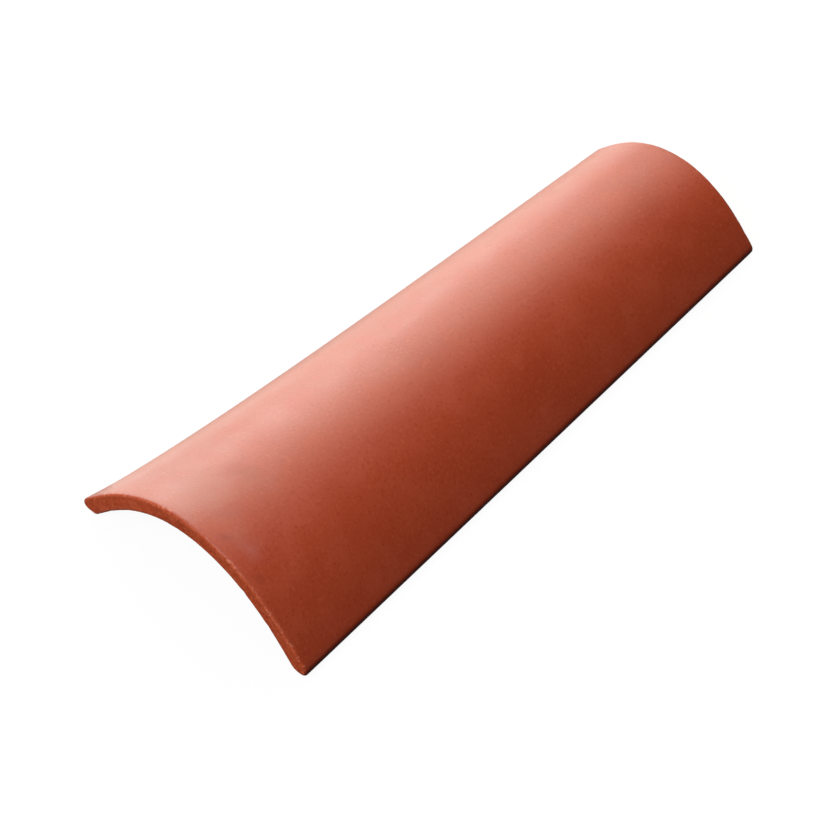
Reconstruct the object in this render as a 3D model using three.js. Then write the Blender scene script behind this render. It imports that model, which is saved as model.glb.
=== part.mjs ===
// Tapered barrel roof tile of unglazed fired clay, one moulded piece lying on its two long edges.
// Millimetres. +Z is up, +Y runs to the narrow end, X is across, and the origin is on the ground
// under the middle of the tile.
import * as THREE from 'three';

// Overall sizes
const length = 450;
const wideWidth = 186;
const narrowWidth = 133;
const wall = 12.4;

// Shape of the arched section
const flankSlope = 47;        // degrees from level where a side meets its foot
const crownGather = 0.66;     // 0 bends evenly, more gathers the bend at the crown

// The left long edge has dried slightly hollow, the right one is straight
const hollowDepth = 6.5;
const hollowPlace = 0.295;    // share of the length from the wide end to the deepest point

// Rounded edges
const footRound = 4.9;        // outer long edge of each foot
const channelRound = 2.5;     // inner long edge of each foot
const rimRound = 1.9;         // edges of both end faces

// Fineness of the curved surfaces
const archSteps = 17;
const roundSteps = 5;
const rimSteps = 4;
const lengthSteps = 26;
const sumSteps = 48;
const searchSteps = 40;

const clayColour = '#b8674e';
const clayRoughness = 0.82;

const radians = Math.PI / 180;

// Slope of the outer surface, as an angle, at a share of the way from the crown to the sharp foot.
function slopeAt(share) {
  return radians * flankSlope * share * (1 + crownGather * (1 - share * share));
}

// Distance out from the crown and down from it, for an arch of unit arc length.
function unitArch(share) {
  const step = share / sumSteps;
  let out = 0;
  let down = 0;
  for (let i = 0; i < sumSteps; i += 1) {
    const slope = slopeAt(step * (i + 0.5));
    out += step * Math.cos(slope);
    down += step * Math.sin(slope);
  }
  return { out, down };
}

// Half section of the arch with its feet cut level, for one overall width.
class Arch {
  constructor(width) {
    const sharpGain = footRound / Math.tan(radians * flankSlope / 2) - footRound;
    const foot = unitArch(1);
    this.arcLength = (width / 2 + sharpGain) / foot.out;
    this.rise = this.arcLength * foot.down;
  }

  // Point at a share of the arch, sunk into the clay by a depth.
  pointAt(share, depth) {
    const slope = slopeAt(share);
    const place = unitArch(share);
    return new THREE.Vector2(
      this.arcLength * place.out - depth * Math.sin(slope),
      this.rise - this.arcLength * place.down - depth * Math.cos(slope),
    );
  }

  // Share of the arch at which the surface sunk by a depth comes down to a height.
  shareAt(depth, height) {
    let above = 0;
    let below = 1;
    for (let i = 0; i < searchSteps; i += 1) {
      const middle = (above + below) / 2;
      if (this.pointAt(middle, depth).y > height) {
        above = middle;
      } else {
        below = middle;
      }
    }
    return above;
  }

  // Right half of the outline from the outer crown round the foot to the inner crown.
  rightHalf(inset) {
    const outerShare = this.shareAt(footRound, footRound);
    const innerShare = this.shareAt(wall - channelRound, channelRound);
    const outerCentre = this.pointAt(outerShare, footRound);
    const innerCentre = this.pointAt(innerShare, wall - channelRound);
    const ground = -Math.PI / 2;
    const points = [];
    for (let i = 0; i <= archSteps; i += 1) {
      points.push(this.pointAt(outerShare * i / archSteps, inset));
    }
    const outerStart = Math.PI / 2 - slopeAt(outerShare);
    for (let i = 1; i <= roundSteps; i += 1) {
      const angle = THREE.MathUtils.lerp(outerStart, ground, i / roundSteps);
      points.push(pointRound(outerCentre, footRound - inset, angle));
    }
    const innerFinish = ground - slopeAt(innerShare);
    for (let i = 0; i <= roundSteps; i += 1) {
      const angle = THREE.MathUtils.lerp(ground, innerFinish, i / roundSteps);
      points.push(pointRound(innerCentre, channelRound - inset, angle));
    }
    for (let i = archSteps - 1; i >= 0; i -= 1) {
      points.push(this.pointAt(innerShare * i / archSteps, wall - inset));
    }
    return points;
  }
}

function pointRound(centre, radius, angle) {
  return new THREE.Vector2(
    centre.x + radius * Math.cos(angle),
    centre.y + radius * Math.sin(angle),
  );
}

// How far the left edge stands in from straight at a share of the length.
function hollowAt(share) {
  const skew = Math.log(0.5) / Math.log(hollowPlace);
  return hollowDepth * Math.sin(Math.PI * share ** skew);
}

// Closed ring of points round the section at one place along the tile.
function ringAt(along, inset) {
  const share = along / length;
  const width = THREE.MathUtils.lerp(wideWidth, narrowWidth, share);
  const half = new Arch(width).rightHalf(inset);
  const mirrored = half.slice(1, -1).reverse().map((point) => new THREE.Vector2(-point.x, point.y));
  const hollow = hollowAt(share);
  return half.concat(mirrored).map((point) => {
    const leftness = (1 - point.x / (width / 2)) / 2;
    return new THREE.Vector3(point.x + hollow * leftness, along - length / 2, point.y);
  });
}

// Rings from the wide end to the narrow end, drawn in at both ends to round the rims.
function tileRings() {
  const rings = [];
  for (let i = 0; i <= rimSteps; i += 1) {
    const turn = Math.PI / 2 * i / rimSteps;
    rings.push(ringAt(rimRound * (1 - Math.cos(turn)), rimRound * (1 - Math.sin(turn))));
  }
  for (let i = 1; i < lengthSteps; i += 1) {
    rings.push(ringAt(THREE.MathUtils.lerp(rimRound, length - rimRound, i / lengthSteps), 0));
  }
  for (let i = rimSteps; i >= 0; i -= 1) {
    const turn = Math.PI / 2 * i / rimSteps;
    rings.push(ringAt(length - rimRound * (1 - Math.cos(turn)), rimRound * (1 - Math.sin(turn))));
  }
  return rings;
}

// Skin between neighbouring rings, closed at each end by a band across the wall.
function tileGeometry() {
  const rings = tileRings();
  const around = rings[0].length;
  const positions = rings.flat().flatMap((point) => point.toArray());
  const faces = [];
  const addQuad = (a, b, c, d) => faces.push(a, b, c, a, c, d);
  for (let ring = 0; ring < rings.length - 1; ring += 1) {
    for (let i = 0; i < around; i += 1) {
      const next = (i + 1) % around;
      const near = ring * around;
      const far = near + around;
      addQuad(near + i, near + next, far + next, far + i);
    }
  }
  const innerCrown = around / 2;
  const lastRing = (rings.length - 1) * around;
  for (let i = 0; i < archSteps + roundSteps; i += 1) {
    const leftOuter = (around - i) % around;
    const leftInner = innerCrown + i;
    addQuad(i, innerCrown - i, innerCrown - i - 1, i + 1);
    addQuad(around - i - 1, leftInner + 1, leftInner, leftOuter);
    addQuad(lastRing + i + 1, lastRing + innerCrown - i - 1, lastRing + innerCrown - i, lastRing + i);
    addQuad(lastRing + leftOuter, lastRing + leftInner, lastRing + leftInner + 1, lastRing + around - i - 1);
  }
  const geometry = new THREE.BufferGeometry();
  geometry.setAttribute('position', new THREE.Float32BufferAttribute(positions, 3));
  geometry.setIndex(faces);
  geometry.computeVertexNormals();
  return geometry;
}

const firedClay = new THREE.MeshStandardMaterial({
  color: clayColour,
  roughness: clayRoughness,
  metalness: 0,
});

const tile = new THREE.Mesh(tileGeometry(), firedClay);
tile.name = 'barrel_tile';

const part = new THREE.Group();
part.name = 'barrel_roof_tile';
part.add(tile);

export default part;
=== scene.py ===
import math
import random

import bmesh
import bpy
from mathutils import Matrix, Vector, noise


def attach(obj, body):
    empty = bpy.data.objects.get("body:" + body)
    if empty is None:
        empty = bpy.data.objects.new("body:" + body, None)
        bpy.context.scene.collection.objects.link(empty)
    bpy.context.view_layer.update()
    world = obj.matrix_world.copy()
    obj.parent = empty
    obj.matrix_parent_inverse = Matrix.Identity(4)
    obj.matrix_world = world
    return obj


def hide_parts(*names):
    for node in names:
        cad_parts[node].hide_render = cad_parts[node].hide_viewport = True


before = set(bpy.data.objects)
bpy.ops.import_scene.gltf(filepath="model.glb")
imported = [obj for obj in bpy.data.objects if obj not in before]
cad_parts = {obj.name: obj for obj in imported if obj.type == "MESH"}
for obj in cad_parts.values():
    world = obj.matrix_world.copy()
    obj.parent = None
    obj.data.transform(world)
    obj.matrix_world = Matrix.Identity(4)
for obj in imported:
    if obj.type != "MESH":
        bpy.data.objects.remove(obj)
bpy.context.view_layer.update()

scene = bpy.context.scene
scene.view_settings.view_transform = "Standard"
print("frame loaded:", sorted(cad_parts))


# camera

cameraView = {
    "azimuth": 40.242,  # degrees round from the wide end towards the straight edge
    "elevation": 48.792,
    "roll": 2.939,
    "distance": 1.7866,  # metres from the aim point
    "aim": (0, 0, 0.030),
    "slideRight": 0.02270,  # metres that the tile moves right in the picture
    "slideUp": 0.03724,
    "lens": 125.78,
    "sensor": 36,
    "clipEnd": 50,
}


def makeCamera(values):
    turn = (
        Matrix.Rotation(math.radians(values["azimuth"]), 4, "Z")
        @ Matrix.Rotation(math.radians(90 - values["elevation"]), 4, "X")
        @ Matrix.Rotation(math.radians(values["roll"]), 4, "Z")
    )
    offset = Vector((-values["slideRight"], -values["slideUp"], values["distance"]))
    stand = Vector(values["aim"]) + turn.to_3x3() @ offset
    data = bpy.data.cameras.new("tileCamera")
    data.lens = values["lens"]
    data.sensor_width = values["sensor"]
    data.clip_end = values["clipEnd"]
    camera = bpy.data.objects.new("tileCamera", data)
    camera.matrix_world = Matrix.Translation(stand) @ turn
    scene.collection.objects.link(camera)
    scene.camera = camera


makeCamera(cameraView)
print("camera placed")


# lights

panelDistance = 3.2  # metres from the tile to each panel's middle

softPanels = {  # azimuth 0 is beyond the narrow end, and +90 is beside the straight edge
    "tallPanel": {
        "azimuth": -60, "elevation": 25,
        "size": (0.8, 3.0), "power": 46, "colour": (1, 0.984, 0.92),
    },
    "lowPanel": {
        "azimuth": -67, "elevation": 10,
        "size": (1.4, 1.2), "power": 26, "colour": (1, 0.984, 0.92),
    },
    "middlePanel": {
        "azimuth": -47, "elevation": 32,
        "size": (1.2, 1.2), "power": 29.5, "colour": (1, 0.964, 0.82),
    },
    "backPanel": {
        "azimuth": -30, "elevation": 50,
        "size": (1.6, 1.6), "power": 31, "colour": (1, 0.964, 0.82),
    },
    "overhead": {
        "azimuth": 0, "elevation": 89,
        "size": (2.0, 2.0), "power": 27, "colour": (1, 1, 1),
    },
    "frontHigh": {
        "azimuth": 180, "elevation": 50,
        "size": (1.6, 1.6), "power": 74, "colour": (1, 1, 1),
    },
    "frontPanel": {
        "azimuth": 195, "elevation": 20,
        "size": (2.0, 1.4), "power": 20, "colour": (1, 1, 1),
    },
}

litTable = {  # a table top beside the hollow edge that shines up, out of the camera's sight
    "size": (0.50, 0.95),
    "inner": (-0.096, -0.225),  # where the line of its inner edge passes the tile's wide end
    "front": -0.200,  # where it starts along the tile
    "turn": 2.3,  # degrees, so that it runs along the tile's hollow edge
    "lift": 0.001,
    "colour": (1.0, 0.97, 0.88),
    "power": 2.05,
}


def addLamp(name, values, stance):
    data = bpy.data.lights.new(name, "AREA")
    data.shape = "RECTANGLE"
    data.size, data.size_y = values["size"]
    data.energy = values["power"]
    data.color = values["colour"]
    lamp = bpy.data.objects.new(name, data)
    lamp.matrix_world = stance
    scene.collection.objects.link(lamp)
    return lamp


def makePanel(name, values):
    bearing = math.radians(values["azimuth"])
    rise = math.radians(values["elevation"])
    level = math.cos(rise)
    away = Vector((math.sin(bearing) * level, math.cos(bearing) * level, math.sin(rise)))
    facing = away.to_track_quat("Z", "Y").to_matrix().to_4x4()
    addLamp(name, values, Matrix.Translation(away * panelDistance) @ facing)


def makeLitTable(values):
    wide, long = values["size"]
    left, near = values["inner"]
    corner = Matrix.Translation((left, near, values["lift"]))
    turn = Matrix.Rotation(math.radians(-values["turn"]), 4, "Z")
    middle = Matrix.Translation((-wide / 2, long / 2 + values["front"] - near, 0))
    faceUp = Matrix.Rotation(math.pi, 4, "X")
    lamp = addLamp("litTable", values, corner @ turn @ middle @ faceUp)
    lamp.visible_camera = False


for name, values in softPanels.items():
    makePanel(name, values)
makeLitTable(litTable)


# node helpers

mixSockets = {"share": 0, "first": 6, "second": 7, "result": 2}  # those a mix node has for colour


def addNode(tree, kind, **settings):
    made = tree.nodes.new("ShaderNode" + kind)
    for name, value in settings.items():
        setattr(made, name, value)
    return made


def feed(tree, socket, value):
    if isinstance(value, bpy.types.NodeSocket):
        tree.links.new(value, socket)
    elif socket.type == "RGBA":
        socket.default_value = tuple(value) + (1,)
    else:
        socket.default_value = value


def reckon(tree, operation, *values):
    made = addNode(tree, "Math", operation=operation)
    for socket, value in zip(made.inputs, values):
        feed(tree, socket, value)
    return made.outputs["Value"]


def spread(tree, value, low, high, toLow=0.0, toHigh=1.0):
    made = addNode(tree, "MapRange", interpolation_type="SMOOTHSTEP")
    labels = ("Value", "From Min", "From Max", "To Min", "To Max")
    for label, given in zip(labels, (value, low, high, toLow, toHigh)):
        feed(tree, made.inputs[label], given)
    return made.outputs["Result"]


def blended(tree, share, first, second):
    made = addNode(tree, "Mix", data_type="RGBA")
    feed(tree, made.inputs[mixSockets["share"]], share)
    feed(tree, made.inputs[mixSockets["first"]], first)
    feed(tree, made.inputs[mixSockets["second"]], second)
    return made.outputs[mixSockets["result"]]


def tinted(tree, colour, effect, share, tint):
    # the colour moved towards the tint wherever the effect is
    return blended(tree, reckon(tree, "MULTIPLY", effect, share), colour, tint)


def mixedShader(tree, share, first, second):
    made = addNode(tree, "MixShader")
    for socket, value in zip(made.inputs, (share, first, second)):
        feed(tree, socket, value)
    return made.outputs["Shader"]


def clouds(tree, position, size, detail=3.0):
    made = addNode(tree, "TexNoise")
    feed(tree, made.inputs["Vector"], position)
    feed(tree, made.inputs["Scale"], reckon(tree, "DIVIDE", 1.0, size))
    made.inputs["Detail"].default_value = detail
    return made.outputs["Fac"]


def seenWhite(tree, direct, mirrored):
    # share of plain white in what the camera sees, and in reflections and clear things
    path = addNode(tree, "LightPath").outputs
    bounced = reckon(tree, "ADD", path["Is Glossy Ray"], path["Is Transmission Ray"])
    reflected = reckon(tree, "MULTIPLY", bounced, mirrored)
    return reckon(tree, "MULTIPLY_ADD", path["Is Camera Ray"], direct, reflected)


# surroundings

studio = {
    "ambient": 0.03,  # what the surroundings add to every side
    "mirrored": 0.015,  # share of the white surroundings that reflections see
}


def evenLight(tree, strength):
    made = addNode(tree, "Background")
    feed(tree, made.inputs["Color"], (1, 1, 1))
    feed(tree, made.inputs["Strength"], strength)
    return made.outputs["Background"]


def makeWorld(values):
    world = bpy.data.worlds.new("studio")
    scene.world = world
    world.use_nodes = True
    tree = world.node_tree
    tree.nodes.clear()
    share = seenWhite(tree, 1.0, values["mirrored"])
    shown = mixedShader(tree, share, evenLight(tree, values["ambient"]), evenLight(tree, 1.0))
    feed(tree, addNode(tree, "OutputWorld").inputs["Surface"], shown)


makeWorld(studio)


# floor

paleFloor = {
    "corners": ((-6, -6), (6, 6)),
    "drop": 0.0002,  # how far it lies below the tile's feet
    "bounce": 0.14,  # how much light it throws back up
    "shade": 0.9,  # how pale its own shading is to the camera
    "whiteness": 0.95,  # share of plain white that the camera sees over that shading
    "fadeFrom": 0.9,  # metres from the tile where it starts to turn all plain white
    "fadeTo": 2.4,
    "mirrored": 0.015,
}

whiteCard = dict(  # a brighter sheet on the floor that lifts the hollow edge's side
    paleFloor,
    corners=((-0.75, -0.45), (-0.11, 0.75)),
    drop=0.0001,
    bounce=0.8,
)


def makeGroundPaint(name, values):
    material = bpy.data.materials.new(name)
    material.use_nodes = True
    tree = material.node_tree
    tree.nodes.clear()
    seen = addNode(tree, "LightPath").outputs["Is Camera Ray"]
    matt = addNode(tree, "BsdfDiffuse")
    tint = blended(tree, seen, (values["bounce"],) * 3, (values["shade"],) * 3)
    feed(tree, matt.inputs["Color"], tint)
    away = addNode(tree, "VectorMath", operation="LENGTH")
    feed(tree, away.inputs[0], addNode(tree, "TexCoord").outputs["Object"])
    fade = (values["fadeFrom"], values["fadeTo"], values["whiteness"], 1.0)
    share = seenWhite(tree, spread(tree, away.outputs["Value"], *fade), values["mirrored"])
    white = addNode(tree, "Emission").outputs["Emission"]
    shown = mixedShader(tree, share, matt.outputs["BSDF"], white)
    feed(tree, addNode(tree, "OutputMaterial").inputs["Surface"], shown)
    return material


def makeGround(name, values):
    (left, front), (right, back) = values["corners"]
    middle = ((left + right) / 2, (front + back) / 2, -values["drop"])
    mesh = bpy.data.meshes.new(name)
    work = bmesh.new()
    bmesh.ops.create_grid(work, x_segments=1, y_segments=1, size=0.5)  # one metre across
    bmesh.ops.scale(work, verts=work.verts, vec=(right - left, back - front, 1))
    bmesh.ops.translate(work, verts=work.verts, vec=middle)
    work.to_mesh(mesh)
    work.free()
    mesh.materials.append(makeGroundPaint(name, values))
    ground = bpy.data.objects.new(name, mesh)
    scene.collection.objects.link(ground)


makeGround("paleFloor", paleFloor)
makeGround("whiteCard", whiteCard)
print("lights and floor made")


# the tile's shape

tileShape = {
    "node": "barrel_tile",
    "mergeGap": 0.00002,
    "joinBend": 40,  # degrees between two triangles that still make one four-sided face
    "joinSkew": 100,
    "capFacing": 0.999,  # how squarely a face looks along the tile to be its flat end
    "capSupport": 0.0008,  # a loop inside each flat end keeps it flat
    "smoothLevels": 2,
    "flatEdge": 25,  # bend per metre where an edge starts to show wear and its painted highlight
    "sharpEdge": 210,  # and where it is fully worn
    "footTop": 0.02,  # only below this height is painted shade laid on the skin where it turns under
    "footTurn": (0.705, 0.36),  # from where it starts to turn under to where the painted shade is full
    "endFacing": 0.2,  # what looks across the tile by less than this is part of an end
}

tileRelief = {
    "waveSize": 0.075,
    "waveDepth": 0.00010,
    "dentSize": 0.016,
    "dentDepth": 0.00006,
    "rimSize": 0.0065,
    "rimDepth": 0.00020,
    "restBand": 0.0003,  # this close to the ground nothing is moved, so the feet stay level
    "restFade": 0.014,  # and the relief comes in over this height
    "nicks": 16,
    "nickEdge": 0.8,  # nicks are only where an edge is at least this worn
    "nickReach": (0.0022, 0.0048),
    "nickDepth": (0.00012, 0.00038),
    "seed": 11,
}


def makeTileMesh(values):
    work = bmesh.new()
    work.from_mesh(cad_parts[values["node"]].data)
    bmesh.ops.remove_doubles(work, verts=work.verts, dist=values["mergeGap"])
    bmesh.ops.join_triangles(
        work,
        faces=work.faces,
        angle_face_threshold=math.radians(values["joinBend"]),
        angle_shape_threshold=math.radians(values["joinSkew"]),
    )
    quads = sum(len(face.verts) == 4 for face in work.faces)
    print("tile faces", len(work.faces), "quads", quads)
    for side in (-1, 1):
        cap = [face for face in work.faces if face.normal.y * side > values["capFacing"]]
        bmesh.ops.inset_region(
            work, faces=cap, thickness=values["capSupport"], use_even_offset=True
        )
    for face in work.faces:
        face.smooth = True
    plain = bpy.data.meshes.new("plainTile")
    work.to_mesh(plain)
    work.free()
    blank = bpy.data.objects.new("plainTile", plain)
    scene.collection.objects.link(blank)
    smooth = blank.modifiers.new("smooth", "SUBSURF")
    smooth.levels = values["smoothLevels"]
    smooth.render_levels = values["smoothLevels"]
    finished = blank.evaluated_get(bpy.context.evaluated_depsgraph_get())
    shaped = bpy.data.meshes.new_from_object(finished)
    bpy.data.objects.remove(blank)
    return shaped


def clamped(value):
    return min(1, max(0, value))


def bendAt(vert):
    total = 0
    for edge in vert.link_edges:
        other = edge.other_vert(vert)
        step = other.co - vert.co
        total += (other.normal - vert.normal).dot(step) / step.length_squared
    return total / len(vert.link_edges)


# painted shade: how much darker the outer skin is painted as it turns under towards the ground
def paintedShadeAt(vert, values):
    across = math.hypot(vert.normal.x, vert.normal.z)
    inward = vert.normal.x * vert.co.x <= 0
    if vert.co.z > values["footTop"] or inward or across < values["endFacing"]:
        return 0
    start, end = values["footTurn"]
    return clamped((start - vert.normal.z / across) / (start - end))


def ripple(point, size):
    return 0.5 + 0.5 * noise.noise(point / size)  # between 0 and 1


def reliefAt(vert, edgeWear, values):
    grown = min(1, (vert.co.z - values["restBand"]) / values["restFade"])
    return grown * (
        values["waveDepth"] * ripple(vert.co, values["waveSize"])
        + values["dentDepth"] * ripple(vert.co, values["dentSize"])
        + values["rimDepth"] * edgeWear * ripple(vert.co, values["rimSize"]) ** 2
    )


def carveTile(mesh, shape, relief):
    # everything is taken inwards, so the tile never grows
    work = bmesh.new()
    work.from_mesh(mesh)
    edgeRound = work.verts.layers.float.new("edgeRound")
    # the second layer holds the painted shade where the skin turns under
    paintedFootShade = work.verts.layers.float.new("paintedFootShade")
    span = shape["sharpEdge"] - shape["flatEdge"]
    for vert in work.verts:
        vert[edgeRound] = clamped((bendAt(vert) - shape["flatEdge"]) / span)
        vert[paintedFootShade] = paintedShadeAt(vert, shape)
    depths = {
        vert: reliefAt(vert, vert[edgeRound], relief)
        for vert in work.verts
        if vert.co.z >= relief["restBand"]
    }
    dice = random.Random(relief["seed"])
    rims = [vert for vert in depths if vert[edgeRound] > relief["nickEdge"]]
    for _ in range(relief["nicks"]):
        centre = dice.choice(rims).co
        reach = dice.uniform(*relief["nickReach"])
        depth = dice.uniform(*relief["nickDepth"])
        for vert in depths:
            away = (vert.co - centre).length / reach
            if away < 1:
                depths[vert] += depth * (1 - away * away) ** 2
    normals = {vert: vert.normal.copy() for vert in depths}
    for vert, depth in depths.items():
        vert.co -= normals[vert] * depth
    work.to_mesh(mesh)
    work.free()
    mesh.update()


tileMesh = makeTileMesh(tileShape)
carveTile(tileMesh, tileShape, tileRelief)
tileBody = bpy.data.objects.new("tileBody", tileMesh)
scene.collection.objects.link(tileBody)
print("tile mesh made, faces:", len(tileMesh.polygons))


# effects that the clays share, with the noise values where each starts and is full

toneSteps = {
    "cloud": (0.30, 0.52, 0.55, 1.0),  # the last two are the shares of base colour there
    "mottle": (0.44, 0.70, 0.0, 0.6),  # and here of the pale colour
    "darkFleck": (0.42, 0.30),
    "paleFleck": (0.56, 0.70),
    "mottleDetail": 4.0,
    "fleckDetail": 2.0,
}

grainSteps = {
    "pitEdge": (0.16, 0.05),  # shares of a pit's cell
    "grainDetail": 4.0,
}

wearAndHighlightSteps = {
    "break": (0.35, 0.62, 0.25, 1.0),  # the last two are the shares of wear and painted highlight there
    "crumb": (0.56, 0.66),
    "breakDetail": 4.0,
    "crumbDetail": 1.0,
}

spotSteps = {
    "edge": (1.5, 0.5),
    "ragged": 1.2,  # how far the noise pulls the edge in and out, as a share of the reach
    "raggedDetail": 4.0,
}


def newGroup(name, inputs, outputs):
    group = bpy.data.node_groups.new(name, "ShaderNodeTree")
    for direction, sockets in (("INPUT", inputs), ("OUTPUT", outputs)):
        for label, kind in sockets.items():
            group.interface.new_socket(label, in_out=direction, socket_type="NodeSocket" + kind)
    given = group.nodes.new("NodeGroupInput").outputs
    result = group.nodes.new("NodeGroupOutput").inputs
    return group, given, result


def place(tree, group, given):
    made = addNode(tree, "Group", node_tree=group)
    for label, value in given.items():
        feed(tree, made.inputs[label], value)
    return made.outputs


def makeClayTone(steps):
    # broad clouds, smaller mottling and fine grains of the fired clay
    group, given, result = newGroup(
        "clayTone",
        {
            "Position": "Vector", "Base": "Color", "Pale": "Color", "Deep": "Color",
            "Cloud Size": "Float", "Mottle Size": "Float",
            "Fleck Size": "Float", "Fleck Share": "Float",
        },
        {"Colour": "Color", "Cloud": "Float"},
    )
    broad = clouds(group, given["Position"], given["Cloud Size"])
    mottle = clouds(group, given["Position"], given["Mottle Size"], steps["mottleDetail"])
    fleck = clouds(group, given["Position"], given["Fleck Size"], steps["fleckDetail"])
    even = spread(group, broad, *steps["cloud"])
    colour = blended(group, even, given["Deep"], given["Base"])
    colour = blended(group, spread(group, mottle, *steps["mottle"]), colour, given["Pale"])
    for kind, grain in (("darkFleck", given["Deep"]), ("paleFleck", given["Pale"])):
        found = spread(group, fleck, *steps[kind])
        colour = tinted(group, colour, found, given["Fleck Share"], grain)
    feed(group, result["Colour"], colour)
    feed(group, result["Cloud"], mottle)
    return group


def makeClayGrain(steps):
    # fine tooth of the surface with a few open pits
    group, given, result = newGroup(
        "clayGrain",
        {
            "Position": "Vector", "Grain Size": "Float",
            "Pit Size": "Float", "Pit Share": "Float",
        },
        {"Height": "Float", "Pits": "Float"},
    )
    grain = clouds(group, given["Position"], given["Grain Size"], steps["grainDetail"])
    cells = addNode(group, "TexVoronoi")
    feed(group, cells.inputs["Vector"], given["Position"])
    feed(group, cells.inputs["Scale"], reckon(group, "DIVIDE", 1.0, given["Pit Size"]))
    split = addNode(group, "SeparateColor")
    feed(group, split.inputs["Color"], cells.outputs["Color"])
    chosen = reckon(group, "LESS_THAN", split.outputs["Red"], given["Pit Share"])
    hollow = spread(group, cells.outputs["Distance"], *steps["pitEdge"])
    pits = reckon(group, "MULTIPLY", hollow, chosen)
    feed(group, result["Height"], reckon(group, "SUBTRACT", grain, pits))
    feed(group, result["Pits"], pits)
    return group


def makeDrawnLines():
    # marks left where the clay was drawn or cut, long one way and narrow the other
    group, given, result = newGroup(
        "drawnLines", {"Position": "Vector", "Line Size": "Vector"}, {"Lines": "Float"}
    )
    shrink = addNode(group, "VectorMath", operation="DIVIDE")
    feed(group, shrink.inputs[0], given["Position"])
    feed(group, shrink.inputs[1], given["Line Size"])
    feed(group, result["Lines"], clouds(group, shrink.outputs["Vector"], 1.0))
    return group


def makeRimWearAndHighlight(steps):
    # rubbed, paler edges and pale crumbs: real wear and chips, and partly a painted highlight
    # along the edges, broken up so that they are never an even line
    group, given, result = newGroup(
        "rimWearAndHighlight",
        {
            "Position": "Vector", "Edge": "Float",
            "Break Size": "Float", "Crumb Size": "Float",
        },
        {"Wear And Highlight": "Float", "Crumbs": "Float"},
    )
    broken = clouds(group, given["Position"], given["Break Size"], steps["breakDetail"])
    rubbed = spread(group, broken, *steps["break"])
    crumb = clouds(group, given["Position"], given["Crumb Size"], steps["crumbDetail"])
    bright = spread(group, crumb, *steps["crumb"])
    feed(group, result["Wear And Highlight"], reckon(group, "MULTIPLY", given["Edge"], rubbed))
    feed(group, result["Crumbs"], reckon(group, "MULTIPLY", bright, given["Edge"]))
    return group


def makeSoftSpot(steps):
    # one patch with a ragged outline: bloom, soot, a scratch or a stray mark
    group, given, result = newGroup(
        "softSpot",
        {
            "Position": "Vector", "Place": "Vector", "Turn": "Vector",
            "Reach": "Vector", "Ragged Size": "Float",
        },
        {"Spot": "Float"},
    )
    local = addNode(group, "Mapping", vector_type="TEXTURE")
    feed(group, local.inputs["Vector"], given["Position"])
    feed(group, local.inputs["Location"], given["Place"])
    feed(group, local.inputs["Rotation"], given["Turn"])
    feed(group, local.inputs["Scale"], given["Reach"])
    away = addNode(group, "VectorMath", operation="LENGTH")
    feed(group, away.inputs[0], local.outputs["Vector"])
    ragged = clouds(group, given["Position"], given["Ragged Size"], steps["raggedDetail"])
    edge = reckon(group, "MULTIPLY_ADD", ragged, steps["ragged"], away.outputs["Value"])
    feed(group, result["Spot"], spread(group, edge, *steps["edge"]))
    return group


clayTone = makeClayTone(toneSteps)
clayGrain = makeClayGrain(grainSteps)
drawnLines = makeDrawnLines()
rimWearAndHighlight = makeRimWearAndHighlight(wearAndHighlightSteps)
softSpot = makeSoftSpot(spotSteps)
print("shared effects made")


# clays

clayMix = {  # the same for every clay
    "pitTint": 0.6,  # how far pits take the deep colour
    "crumbTint": 0.85,  # and crumbs the worn colour, which is partly a painted highlight
    "roughClouds": (0.3, 0.7),  # mottling at which the surface is smoothest and roughest
}

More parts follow.
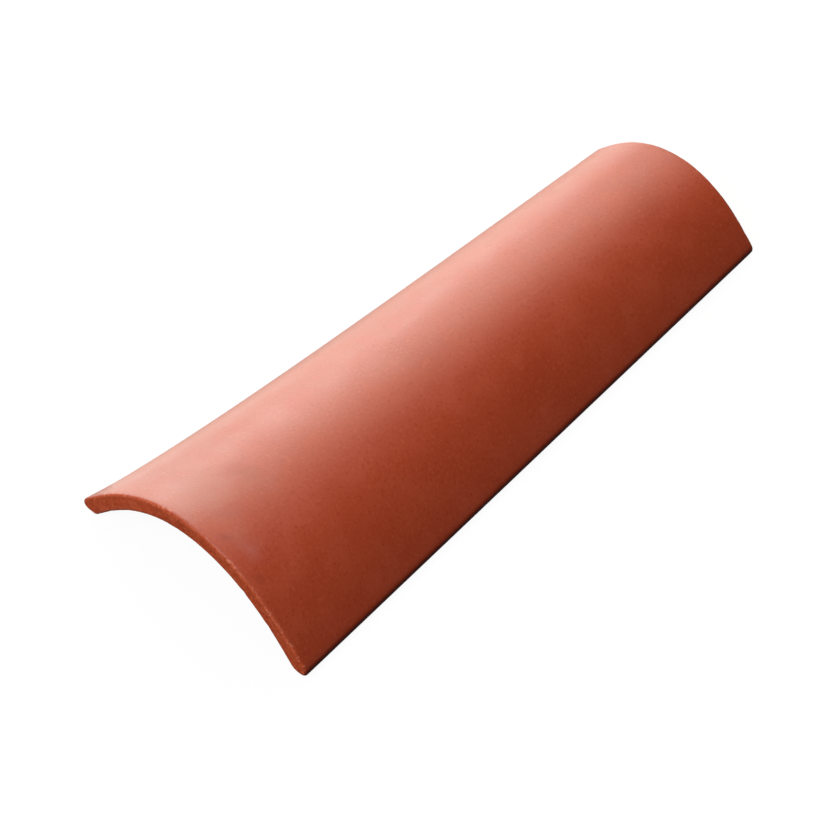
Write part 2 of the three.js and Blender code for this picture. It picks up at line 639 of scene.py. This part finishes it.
fairClay = {  # the smooth outer skin
    "base": (0.3300, 0.0415, 0.0114),
    "pale": (0.3620, 0.0535, 0.0190),
    "deep": (0.2900, 0.0310, 0.0070),
    # paler edges: real wear, and partly a painted highlight along the rims
    "wornAndHighlight": (0.4800, 0.1250, 0.0700),
    "foot": (0.1300, 0.0120, 0.0046),  # painted shade where it has turned under
    "cloudSize": 0.085,
    "mottleSize": 0.022,
    "fleckSize": 0.0021,
    "fleckShare": 1.0,
    "grainSize": 0.0011,
    "pitSize": 0.0085,
    "pitShare": 0.10,
    "lineSize": (0.0035, 0.22, 0.0035),  # drawn along the tile
    "lineShare": 0.5,
    "reliefDepth": 0.00010,
    "wearAndHighlightShare": 0.10,
    "breakSize": 0.006,
    "crumbSize": 0.0024,
    "roughness": (0.43, 0.48),
    "specular": 0.42,
    "sheen": {"Weight": 0.35, "Roughness": 0.3, "Tint": (1.0, 0.99, 0.85)},
    "spots": [
        {  # pale bloom left of the crown
            "place": (-0.0250, -0.2020, 0.0540), "turn": 0, "reach": (0.068, 0.062, 0.045),
            "ragged": 0.020, "colour": (0.3300, 0.1100, 0.0800), "share": 0.55, "height": 0,
        },
        {  # and right of it
            "place": (0.0345, -0.2090, 0.0535), "turn": 0.3, "reach": (0.012, 0.009, 0.014),
            "ragged": 0.009, "colour": (0.3500, 0.0900, 0.0750), "share": 0.4, "height": 0,
        },
        {
            "place": (0.0100, -0.2000, 0.0600), "turn": 0.9, "reach": (0.022, 0.010, 0.020),
            "ragged": 0.012, "colour": (0.3000, 0.0640, 0.0480), "share": 0.35, "height": 0,
        },
        {  # dark blotches near the wide end
            "place": (0.0190, -0.2150, 0.0585), "turn": 0.6, "reach": (0.007, 0.005, 0.010),
            "ragged": 0.006, "colour": (0.2100, 0.0250, 0.0080), "share": 0.45, "height": 0,
        },
        {
            "place": (0.0480, -0.2165, 0.0470), "turn": 0.2, "reach": (0.008, 0.005, 0.010),
            "ragged": 0.006, "colour": (0.2100, 0.0250, 0.0080), "share": 0.45, "height": 0,
        },
        {
            "place": (-0.0100, -0.1740, 0.0580), "turn": 0.5, "reach": (0.026, 0.013, 0.030),
            "ragged": 0.014, "colour": (0.2500, 0.0270, 0.0030), "share": 0.5, "height": 0,
        },
        {  # a scratch
            "place": (-0.0375, -0.1480, 0.0460), "turn": 0.86, "reach": (0.024, 0.0011, 0.02),
            "ragged": 0.010, "colour": (0.3600, 0.0800, 0.0400), "share": 0.5, "height": -0.5,
        },
        {  # a speck
            "place": (-0.0463, -0.1072, 0.0393), "turn": 0, "reach": (0.0022, 0.0016, 0.004),
            "ragged": 0.004, "colour": (0.1500, 0.0170, 0.0050), "share": 0.7, "height": -0.6,
        },
    ],
}

cutClay = {  # the coarse end faces
    "base": (0.4000, 0.0590, 0.0180),
    "pale": (0.4900, 0.0950, 0.0380),
    "deep": (0.2600, 0.0300, 0.0085),
    # paler edges: real wear, and partly a painted highlight along the rims
    "wornAndHighlight": (0.5600, 0.1500, 0.0800),
    # painted shade where the skin turns under
    "foot": (0.1600, 0.0160, 0.0050),
    "cloudSize": 0.040,
    "mottleSize": 0.009,
    "fleckSize": 0.0016,
    "fleckShare": 1.0,
    "grainSize": 0.0013,
    "pitSize": 0.0045,
    "pitShare": 0.22,
    "lineSize": (0.030, 0.003, 0.0011),  # dragged across by the cutting wire
    "lineShare": 1.0,
    "reliefDepth": 0.00028,
    "wearAndHighlightShare": 0.2,
    "breakSize": 0.005,
    "crumbSize": 0.0024,
    "roughness": (0.62, 0.78),
    "specular": 0.10,
    "sheen": {},
    "spots": [],
}

sandedClay = {  # the channel underneath
    "base": (0.3000, 0.0520, 0.0180),
    "pale": (0.3700, 0.0820, 0.0350),
    "deep": (0.2200, 0.0320, 0.0110),
    # paler edges: real wear, and partly a painted highlight along the rims
    "wornAndHighlight": (0.3600, 0.0720, 0.0300),
    # painted shade where the skin turns under
    "foot": (0.1600, 0.0160, 0.0050),
    "cloudSize": 0.060,
    "mottleSize": 0.012,
    "fleckSize": 0.0012,
    "fleckShare": 0.9,
    "grainSize": 0.0009,
    "pitSize": 0.0060,
    "pitShare": 0.18,
    "lineSize": (0.0024, 0.16, 0.0024),
    "lineShare": 1.4,
    "reliefDepth": 0.00026,
    "wearAndHighlightShare": 0.5,
    "breakSize": 0.006,
    "crumbSize": 0.0024,
    "roughness": (0.74, 0.90),
    "specular": 0.2,
    "sheen": {},
    "spots": [],
}

shadedFootClay = dict(  # the outer skin again with less sheen and gloss, a shaded copy for where it turns under, which also carries the painted shade colour
    fairClay,
    specular=0.12,
    sheen=dict(fairClay["sheen"], Weight=0.12),
    spots=[],
)

clays = {"fairClay": fairClay, "cutClay": cutClay, "sandedClay": sandedClay, "shadedFootClay": shadedFootClay}

tileSkins = {
    "cutFacing": 0.6,  # how squarely a face looks along the tile to count as cut
    "footFacing": 0.60,  # outer skin that looks up less than this belongs to a foot
    "levelFacing": 0.97,  # how squarely a face looks down to be the level foot
    "levelBand": 0.0004,  # and how close to the ground it is
}


def makeClay(name, values, mix):
    material = bpy.data.materials.new(name)
    material.use_nodes = True
    tree = material.node_tree
    shader = tree.nodes["Principled BSDF"]
    position = addNode(tree, "TexCoord").outputs["Object"]
    edge = addNode(tree, "Attribute", attribute_name="edgeRound").outputs["Fac"]
    # painted shade on the skin that turns under towards the ground
    paintedShade = addNode(tree, "Attribute", attribute_name="paintedFootShade").outputs["Fac"]
    tone = place(tree, clayTone, {
        "Position": position,
        "Base": values["base"], "Pale": values["pale"], "Deep": values["deep"],
        "Cloud Size": values["cloudSize"], "Mottle Size": values["mottleSize"],
        "Fleck Size": values["fleckSize"], "Fleck Share": values["fleckShare"],
    })
    grain = place(tree, clayGrain, {
        "Position": position, "Grain Size": values["grainSize"],
        "Pit Size": values["pitSize"], "Pit Share": values["pitShare"],
    })
    lines = place(tree, drawnLines, {"Position": position, "Line Size": values["lineSize"]})
    rim = place(tree, rimWearAndHighlight, {
        "Position": position, "Edge": edge,
        "Break Size": values["breakSize"], "Crumb Size": values["crumbSize"],
    })

    colour = tinted(tree, tone["Colour"], grain["Pits"], mix["pitTint"], values["deep"])
    height = reckon(tree, "MULTIPLY_ADD", lines["Lines"], values["lineShare"], grain["Height"])
    for spot in values["spots"]:
        patch = place(tree, softSpot, {
            "Position": position, "Place": spot["place"], "Turn": (0, 0, spot["turn"]),
            "Reach": spot["reach"], "Ragged Size": spot["ragged"],
        })["Spot"]
        colour = tinted(tree, colour, patch, spot["share"], spot["colour"])
        height = reckon(tree, "MULTIPLY_ADD", patch, spot["height"], height)
    # paler edges and crumbs: real wear and chips, and partly a painted highlight along the rims
    colour = tinted(tree, colour, rim["Wear And Highlight"], values["wearAndHighlightShare"], values["wornAndHighlight"])
    colour = tinted(tree, colour, rim["Crumbs"], mix["crumbTint"], values["wornAndHighlight"])
    # painted shade where the skin turns under
    colour = blended(tree, paintedShade, colour, values["foot"])
    height = reckon(tree, "ADD", height, rim["Crumbs"])
    roughness = spread(tree, tone["Cloud"], *mix["roughClouds"], *values["roughness"])

    bump = addNode(tree, "Bump")
    feed(tree, bump.inputs["Distance"], values["reliefDepth"])
    feed(tree, bump.inputs["Height"], height)
    feed(tree, shader.inputs["Base Color"], colour)
    feed(tree, shader.inputs["Roughness"], roughness)
    feed(tree, shader.inputs["Normal"], bump.outputs["Normal"])
    feed(tree, shader.inputs["Specular IOR Level"], values["specular"])
    for label, value in values["sheen"].items():
        feed(tree, shader.inputs["Sheen " + label], value)
    return material


def dressTile(mesh, values, order):
    for face in mesh.polygons:
        across = face.normal.x * face.center.x
        towardsChannel = across + face.normal.z * face.center.z < 0
        # the level foot and the skin that turns under take the shaded copy of the skin, with less
        # gloss
        level = face.normal.z < -values["levelFacing"] and face.center.z < values["levelBand"]
        rounded = face.normal.z < values["footFacing"] and across > 0 and not towardsChannel
        if abs(face.normal.y) > values["cutFacing"]:
            clay = "cutClay"
        elif level or rounded:
            clay = "shadedFootClay"
        elif towardsChannel:
            clay = "sandedClay"
        else:
            clay = "fairClay"
        face.material_index = order.index(clay)


tileMesh.materials.clear()
for name, values in clays.items():
    tileMesh.materials.append(makeClay(name, values, clayMix))
dressTile(tileMesh, tileSkins, list(clays))  # last, because clearing the clays resets each face
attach(tileBody, "root")
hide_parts("barrel_tile")
print("clays made")
